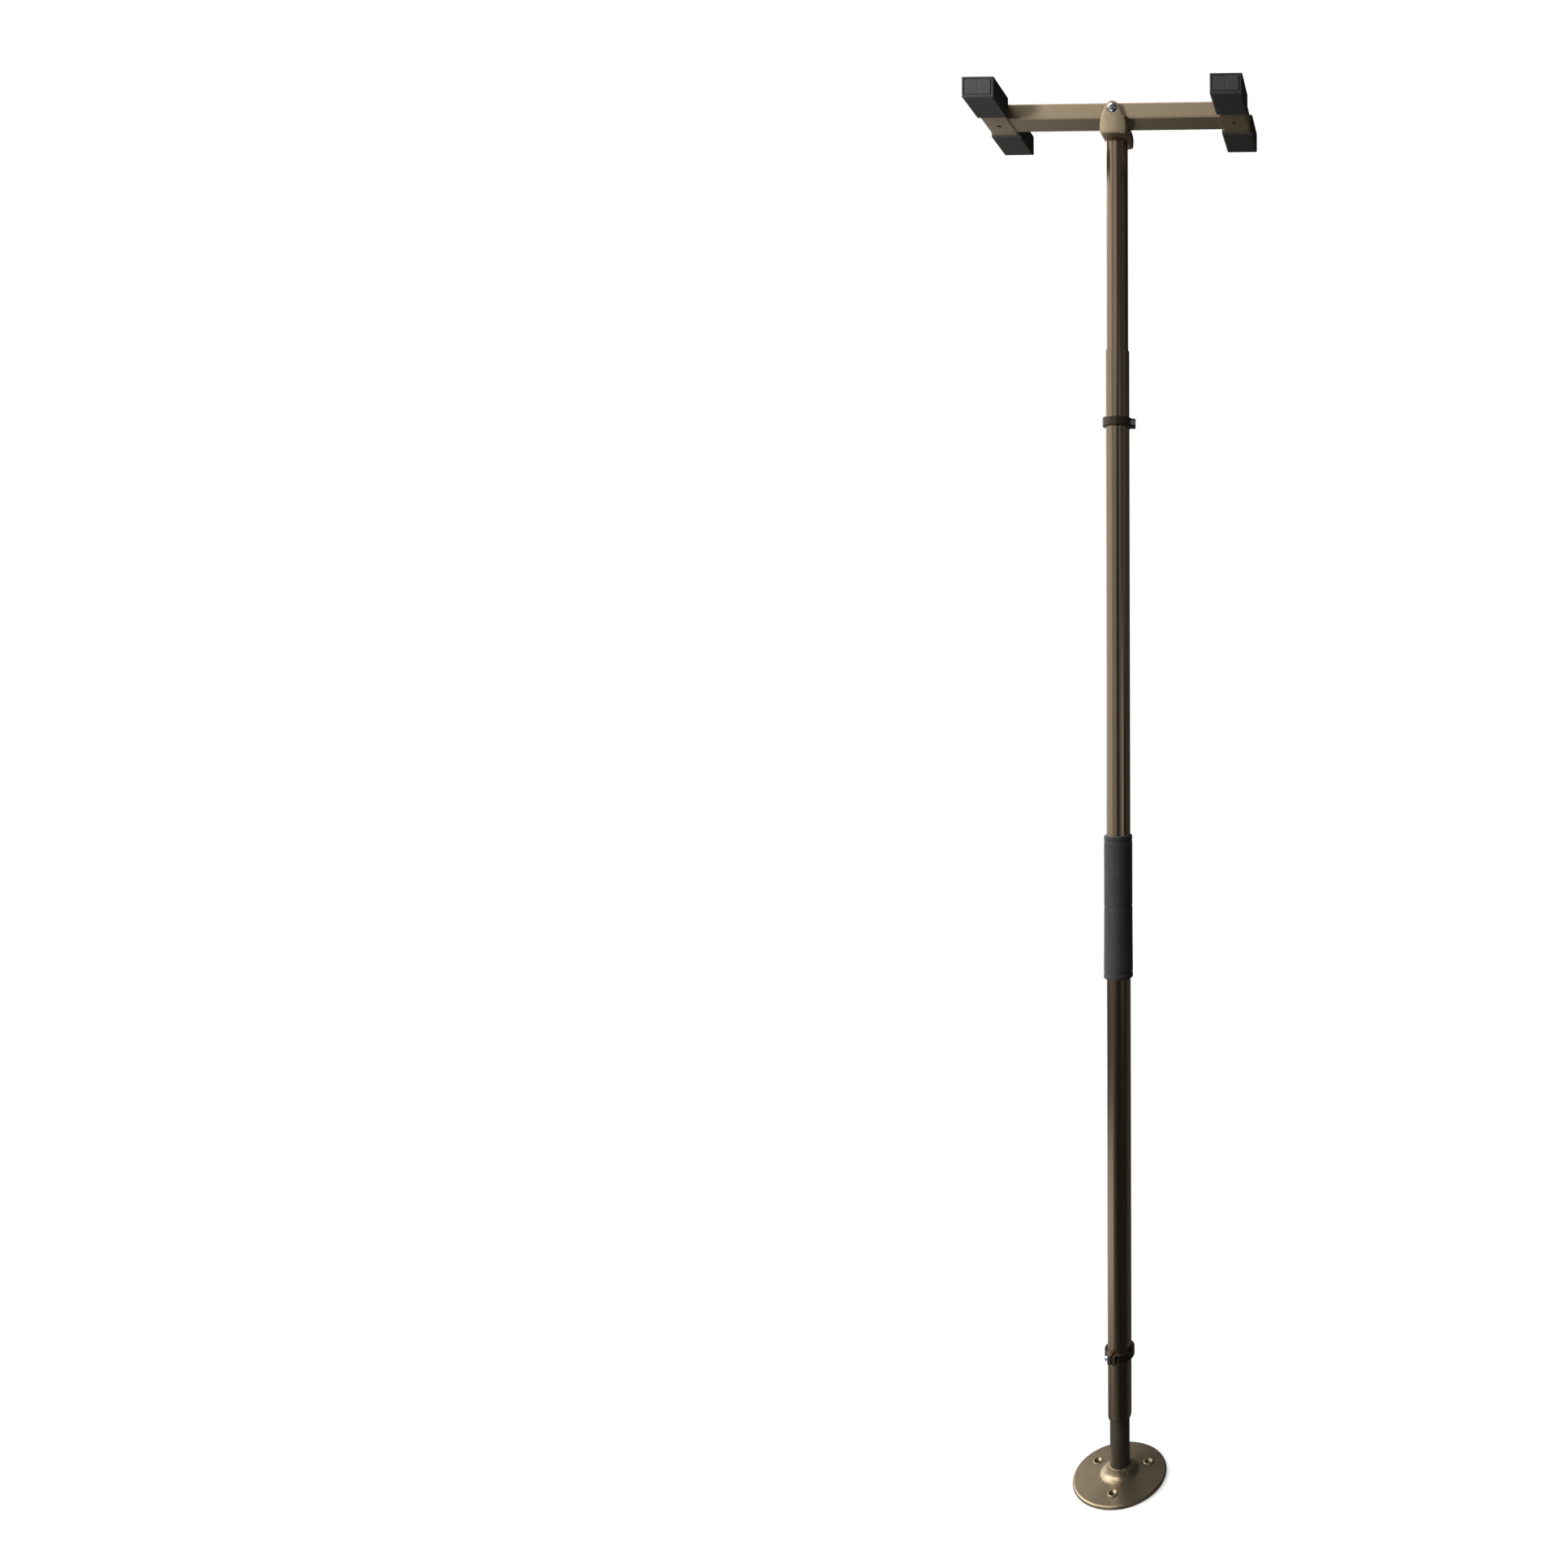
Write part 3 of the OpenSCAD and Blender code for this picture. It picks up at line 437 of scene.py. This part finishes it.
mouldedSet = {
    "bootRubber": {"deep": (0.026, 0.026, 0.026), "bright": (0.042, 0.042, 0.041),
                   "scuff": (0.09, 0.088, 0.085), "rough": (0.44, 0.58), "grain": 900.0, "depth": 0.00004},
    "padRubber": {"deep": (0.016, 0.016, 0.017), "bright": (0.030, 0.030, 0.030),
                  "scuff": (0.07, 0.068, 0.065), "rough": (0.62, 0.80), "grain": 500.0, "depth": 0.00025},
    "bushNylon": {"deep": (0.022, 0.019, 0.015), "bright": (0.038, 0.033, 0.027),
                  "scuff": (0.05, 0.046, 0.04), "rough": (0.40, 0.52), "grain": 1200.0, "depth": 0.00005},
    "gripThread": {"deep": (0.018, 0.018, 0.018), "bright": (0.04, 0.04, 0.04),
                   "scuff": (0.06, 0.06, 0.06), "rough": (0.45, 0.6), "grain": 3000.0, "depth": 0.00003},
}
# what all the moulded finishes share
mouldedMix = {"scuffShare": 0.5, "dust": (0.25, 0.24, 0.22), "grainRange": (0.3, 0.7)}


def makeMoulded(name, values):
    material, tree, shader, place = newMaterial(name)
    grain = useEffect(tree, "coatGrain", place, Wave_Scale=values["grain"], Flake_Scale=2600.0)
    rub = useEffect(tree, "handRub", place, Scale=22.0, Low=0.56, High=0.8)["Rub"]
    dust = useEffect(tree, "settledDust", place, Amount=0.05)["Dust"]
    plain = mixColours(tree, grain["Flakes"], values["deep"], values["bright"])
    scuffs = mathNode(tree, "MULTIPLY", rub, mouldedMix["scuffShare"])
    scuffed = mixColours(tree, scuffs, plain, values["scuff"])
    setInput(tree, shader.inputs["Base Color"], mixColours(tree, dust, scuffed, mouldedMix["dust"]))
    rough = rangeNode(tree, grain["Waves"], *mouldedMix["grainRange"], *values["rough"])
    setInput(tree, shader.inputs["Roughness"], rough)
    addBump(tree, shader, grain["Waves"], values["depth"])
    return material


finishes = {name: makeCoat(name, values) for name, values in
            (("tubeCoat", tubeSet), ("jackCoat", jackSet), ("barCoat", barSet), ("castCoat", castSet),
             ("forkCoat", forkSet), ("collarCoat", collarSet))}
finishes.update({name: makeMetal(name, values) for name, values in metalSet.items()})
finishes.update({name: makeMoulded(name, values) for name, values in mouldedSet.items()})

finishOf = {
    "tubeCoat": ("lower_pole_tube", "upper_pole_tube", "upper_tube"),
    "jackCoat": ("jack_tube",),
    "barCoat": ("main_bar", "left_crossbar", "right_crossbar"),
    "castCoat": ("floor_flange",),
    "forkCoat": ("fork",),
    "collarCoat": ("lower_collar", "upper_collar"),
    "brightSteel": ("lower_collar_bolt", "upper_collar_bolt", "pivot_bolt", "pivot_washers", "pivot_nut",
                    "flange_set_screw"),
    "plainSteel": ("jack_nut", "jack_screw", "jack_bulkhead", "bulkhead_pin", "pole_joiner", "pivot_sleeve"),
    "blackSteel": ("joiner_screws", "fork_pin"),
    "bushNylon": ("thrust_washer", "lower_guide_bush", "upper_tube_glide"),
    "bootRubber": ("left_front_boot", "left_rear_boot", "right_front_boot", "right_rear_boot"),
    "padRubber": ("floor_pad",),
}
for finish, names in finishOf.items():
    for name in names:
        for materialSlot in nodes[name].material_slots:
            materialSlot.material = finishes[finish]
print("finishes on", sum(len(names) for names in finishOf.values()), "CAD nodes")


# mesh helpers
def gridFaces(rows, columns, loopRows=False, loopColumns=False):
    # corner numbers of the quads of a rows by columns grid, joined end to end where it loops
    row = np.arange(rows if loopRows else rows - 1)[:, None]
    column = np.arange(columns if loopColumns else columns - 1)[None, :]
    nextRow, nextColumn = (row + 1) % rows, (column + 1) % columns
    corners = [row * columns + column, row * columns + nextColumn,
               nextRow * columns + nextColumn, nextRow * columns + column]
    return np.stack(corners, axis=-1).reshape(-1, 4)


def outward(points, faces):
    # the faces as lists, turned round where the closed surface they make would be inside out
    corners = points.reshape(-1, 3)
    first, second, third, fourth = (corners[faces[:, i]] for i in range(4))
    volume = (first * np.cross(second, third)).sum() + (first * np.cross(third, fourth)).sum()
    return (faces if volume > 0 else faces[:, ::-1]).tolist()


def addPiece(name, points, faces, material, body):
    mesh = bpy.data.meshes.new(name)
    mesh.from_pydata(points.reshape(-1, 3).tolist(), [], faces)
    mesh.polygons.foreach_set("use_smooth", np.ones(len(mesh.polygons), dtype=bool))
    mesh.materials.append(material)
    piece = bpy.data.objects.new(name, mesh)
    scene.collection.objects.link(piece)
    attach(piece, body)
    return piece


# the padded grip: one closed sleeve of cloth over foam, swollen by air pressure between its sewn lines
gripSet = {
    "wallRows": 128, "innerRows": 16, "columns": 112, "endSteps": 6,
    "innerRadius": 0.0192, "radius": 0.0226, "endRound": 0.0024, "innerRound": 0.0008,
    "hem": 0.0092, "seamDip": 0.0008, "seamHalf": 0.0013, "backSeam": 0.0005,
    "lowSwell": 0.0007, "swellFade": 1.6, "lean": -0.0005,
    "pucker": 0.0001, "puckerCount": 45, "puckerReach": 3,   # reach in halves of a seam
    "pressure": 3.0, "frames": 20, "mostMove": 0.0007, "heldHalf": 0.0009,
}
gripLow, gripHigh = (corner[2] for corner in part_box("padded_grip"))
sewnHeights = (gripLow + gripSet["hem"], (gripLow + gripHigh) / 2, gripHigh - gripSet["hem"])


def gripRadius(values, height, angle):
    # a plain round, fuller towards its foot; a bell-shaped dip at each sewn line and down the closing seam
    # at the back; puckers that fade away from each sewn line
    share = (height - gripLow) / (gripHigh - gripLow)
    foot = np.clip(1 - values["swellFade"] * share, 0, 1) ** 2
    radius = values["radius"] + values["lowSwell"] * foot + 0 * angle
    for sewn in sewnHeights:
        away = (height - sewn) / values["seamHalf"]
        radius = radius - values["seamDip"] * np.exp(-away ** 2)
        puckers = values["pucker"] * np.sin(values["puckerCount"] * angle)
        radius = radius + puckers * np.exp(-(away / values["puckerReach"]) ** 2)
    back = np.angle(np.exp(1j * (angle - pi / 2))) * values["radius"] / values["seamHalf"]
    return radius - values["backSeam"] * np.exp(-back ** 2)


def gripLoop(values):
    # up the outer wall, round the upper end, down the inner wall and round the lower end:
    # share is 1 on the outer wall and 0 on the inner one, height runs along the pole
    thick = values["radius"] - values["innerRadius"]
    turn = np.linspace(0, pi / 2, values["endSteps"] + 1)[1:]
    endRound, innerRound = values["endRound"], values["innerRound"]
    outerShare = 1 - endRound / thick * (1 - np.cos(turn))
    outerDrop = endRound * (1 - np.sin(turn))
    innerShare = innerRound / thick * (1 - np.sin(turn))
    innerDrop = innerRound * (1 - np.cos(turn))
    endShare = np.concatenate([outerShare, innerShare])
    endDrop = np.concatenate([outerDrop, innerDrop])
    wall = np.linspace(gripLow + endRound, gripHigh - endRound, values["wallRows"])
    inside = np.linspace(gripHigh - innerRound, gripLow + innerRound, values["innerRows"])[1:-1]
    share = np.concatenate([np.ones_like(wall), endShare, np.zeros_like(inside), endShare[::-1]])
    height = np.concatenate([wall, gripHigh - endDrop, inside, gripLow + endDrop[::-1]])
    return share, height


def swellGrip(piece, points, held, values):
    # air pressure lifts the cloth between the held rows, with a cap on how far a point may move
    sewn = piece.vertex_groups.new(name="sewn")
    sewn.add(np.flatnonzero(held).tolist(), 1.0, "REPLACE")
    cloth = piece.modifiers.new("padding", "CLOTH")
    cloth.settings.use_pressure = True
    cloth.settings.uniform_pressure_force = values["pressure"]
    cloth.settings.vertex_group_mass = sewn.name
    cloth.settings.effector_weights.gravity = 0
    cloth.point_cache.frame_start, cloth.point_cache.frame_end = 1, values["frames"]
    for frameNumber in range(1, values["frames"] + 1):
        scene.frame_set(frameNumber)
    swollen = piece.evaluated_get(bpy.context.evaluated_depsgraph_get()).data
    moved = np.empty(len(swollen.vertices) * 3)
    swollen.vertices.foreach_get("co", moved)
    move = moved.reshape(-1, 3) - points
    size = np.linalg.norm(move, axis=1, keepdims=True)
    move = move * np.minimum(1, values["mostMove"] / np.maximum(size, 1e-9))
    piece.modifiers.remove(cloth)
    piece.vertex_groups.remove(sewn)
    scene.frame_set(1)
    piece.data.vertices.foreach_set("co", (points + move).ravel())
    piece.data.update()
    print("grip swollen by up to", round(float(np.linalg.norm(move, axis=1).max()) * 1000, 2), "mm")


def makeGrip(values):
    share, height = gripLoop(values)
    angle = pi / 2 + np.linspace(0, 2 * pi, values["columns"], endpoint=False)
    share, height, angle = share[:, None], height[:, None], angle[None, :]
    radius = values["innerRadius"] + (gripRadius(values, height, angle) - values["innerRadius"]) * share
    points = np.stack([radius * np.cos(angle) + values["lean"] * share, radius * np.sin(angle),
                       height + 0 * angle], axis=-1)
    rows, columns = radius.shape
    faces = outward(points, gridFaces(rows, columns, True, True))
    piece = addPiece("paddedGrip", points, faces, finishes["gripCloth"], "pole")
    # the hems, the sewn line round the middle and the inner wall are held
    margin = values["heldHalf"]
    hems = (height < sewnHeights[0] + margin) | (height > sewnHeights[2] - margin)
    middle = np.abs(height - sewnHeights[1]) < margin
    held = ((share < 1) | hems | middle) & np.ones((rows, columns), dtype=bool)
    swellGrip(piece, points.reshape(-1, 3), held.ravel(), values)
    smooth = piece.modifiers.new("smooth", "SUBSURF")
    smooth.levels = smooth.render_levels = 1
    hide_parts("padded_grip")


stitchSet = {"pitch": 0.0031, "length": 0.0021, "thick": 0.00024, "rise": 0.5, "sunk": 0.00035, "blunt": 1.02,
             "rows": 5, "columns": 6}


def stitchPoints(values, angle, height, alongZ):
    # a lens-shaped thread bent into the cloth at its ends, one for each angle and height
    run = np.linspace(-1, 1, values["rows"])[None, :, None]
    turn = np.linspace(0, 2 * pi, values["columns"], endpoint=False)[None, None, :]
    angle, height = angle[:, None, None], height[:, None, None]
    thick = values["thick"] * np.sqrt(values["blunt"] - run ** 2)
    half = values["length"] / 2
    cloth = gripRadius(gripSet, height, angle)
    radius = cloth + values["thick"] * values["rise"] - values["sunk"] * run ** 2
    radius = radius + thick * np.cos(turn)
    side = thick * np.sin(turn)
    around, up = (side, run * half) if alongZ else (run * half, side)
    bent = angle + around / gripSet["radius"]
    level = height + up + 0 * radius
    return np.stack([radius * np.cos(bent) + gripSet["lean"], radius * np.sin(bent), level], axis=-1)


def makeStitches(values):
    count = int(2 * pi * gripSet["radius"] / values["pitch"])
    angles = np.linspace(0, 2 * pi, count, endpoint=False)
    rings = [stitchPoints(values, angles, np.full(count, sewn), False) for sewn in sewnHeights]
    climb = np.arange(sewnHeights[0] + values["pitch"], sewnHeights[2] - values["pitch"] / 2, values["pitch"])
    points = np.concatenate(rings + [stitchPoints(values, np.full(len(climb), pi / 2), climb, True)])
    total, rows, columns = points.shape[:3]
    one = gridFaces(rows, columns, False, True)
    start = np.arange(total)[:, None, None] * rows * columns
    quads = (one[None] + start).reshape(-1, 4)
    faces = outward(points, quads)
    ends = np.stack([np.arange(columns)[::-1], np.arange(columns) + (rows - 1) * columns])
    caps = (ends[None] + start).reshape(-1, columns)
    if faces[0] != quads[0].tolist():   # the ends turn round with the sides
        caps = caps[:, ::-1]
    addPiece("gripStitches", points, faces + caps.tolist(), finishes["gripThread"], "pole")
    print("stitches:", total)


# weld beads where the main bar meets the crossbars
weldSet = {"radius": 0.0010, "inset": 0.0004, "corner": 0.003, "cornerSteps": 13,
           "ripplePitch": 0.0022, "ripple": 0.13, "rippleLag": 1.1, "perRipple": 6, "around": 10}


def barLoop(values, halfWide, halfHigh):
    # points at even steps along a rectangle with round corners, with the outward direction at each
    corner = values["corner"]
    turn = np.linspace(0, pi / 2, values["cornerSteps"])[None, :] + np.arange(4)[:, None] * pi / 2
    middleY = np.array([1, -1, -1, 1])[:, None] * (halfWide - corner)
    middleZ = np.array([1, 1, -1, -1])[:, None] * (halfHigh - corner)
    corners = np.stack([middleY + corner * np.cos(turn), middleZ + corner * np.sin(turn)], axis=-1)
    outline = np.concatenate([corners.reshape(-1, 2), corners[:1, 0]])
    turns = np.append(turn.ravel(), 2 * pi)
    length = np.append(0, np.cumsum(np.linalg.norm(np.diff(outline, axis=0), axis=1)))
    ripples = round(length[-1] / values["ripplePitch"])
    steps = np.linspace(0, 1, ripples * values["perRipple"], endpoint=False)
    along = steps * length[-1]
    place = np.stack([np.interp(along, length, outline[:, i]) for i in range(2)], axis=-1)
    facing = np.interp(along, length, turns)
    return place, np.stack([np.cos(facing), np.sin(facing)], axis=-1), steps * ripples * 2 * pi


def makeWeld(name, side, values):
    # a round bead carried along the bar's outline, its radius rippled along the way and lagging at its middle
    low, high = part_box("main_bar")
    middle = (low[2] + high[2]) / 2
    place, facing, phase = barLoop(values, high[1], (high[2] - low[2]) / 2)
    turn = np.linspace(0, 2 * pi, values["around"], endpoint=False)[None, :]
    waves = np.sin(phase[:, None] + values["rippleLag"] * np.cos(turn))
    radius = values["radius"] * (1 + values["ripple"] * waves)
    lift = radius * np.cos(turn) - values["inset"]
    x = side * (high[0] - values["inset"] + radius * np.sin(turn))
    y = place[:, :1] + facing[:, :1] * lift
    z = middle + place[:, 1:] + facing[:, 1:] * lift
    points = np.stack([x, y, z], axis=-1)
    faces = outward(points, gridFaces(*radius.shape, True, True))
    addPiece(name, points, faces, finishes["barCoat"], "ceiling_bar")


# the grip's cloth
clothSet = {"deep": (0.012, 0.012, 0.0123), "bright": (0.048, 0.048, 0.049), "worn": (0.062, 0.062, 0.062),
            "knit": 0.0009, "knitDepth": 0.00004, "knitShare": 0.25, "streaks": 420.0, "streakAlong": 0.06,
            "fibreShare": 0.375, "toneRange": (0.31, 0.71), "wornShare": 0.35, "rough": (0.52, 0.42)}


def makeCloth(name, values):
    # knit: small round bumps on a grid that runs round and along the grip, with streaks along it
    material, tree, shader, place = newMaterial(name, Sheen_Weight=0.12, Sheen_Roughness=0.45)
    x, y, z = splitNode(tree, place)
    around = mathNode(tree, "MULTIPLY", mathNode(tree, "ARCTAN2", y, x), gripSet["radius"])
    waves = [mathNode(tree, "SINE", mathNode(tree, "MULTIPLY", value, 2 * pi / values["knit"]))
             for value in (around, z)]
    knit = rangeNode(tree, mathNode(tree, "MULTIPLY", *waves), -1, 1)
    fibre = useEffect(tree, "coatGrain", place, Wave_Scale=1500.0, Flake_Scale=3000.0)
    rub = useEffect(tree, "handRub", place, Scale=16.0, Low=0.5, High=0.8)["Rub"]
    marks = useEffect(tree, "toolMarks", place, Lines=values["streaks"], Along=values["streakAlong"])
    fibres = mathNode(tree, "ADD", fibre["Waves"], marks["Marks"])
    tone = mathNode(tree, "ADD", mathNode(tree, "MULTIPLY", knit, values["knitShare"]),
                    mathNode(tree, "MULTIPLY", fibres, values["fibreShare"]))
    plain = mixColours(tree, rangeNode(tree, tone, *values["toneRange"]), values["deep"], values["bright"])
    worn = mixColours(tree, mathNode(tree, "MULTIPLY", rub, values["wornShare"]), plain, values["worn"])
    setInput(tree, shader.inputs["Base Color"], worn)
    setInput(tree, shader.inputs["Roughness"], rangeNode(tree, rub, 0, 1, *values["rough"]))
    addBump(tree, shader, mathNode(tree, "ADD", knit, fibre["Waves"]), values["knitDepth"])
    return material


finishes["gripCloth"] = makeCloth("gripCloth", clothSet)
makeGrip(gripSet)
makeStitches(stitchSet)
for name, side in (("leftWeld", -1), ("rightWeld", 1)):
    makeWeld(name, side, weldSet)
print("grip, stitches and welds made")
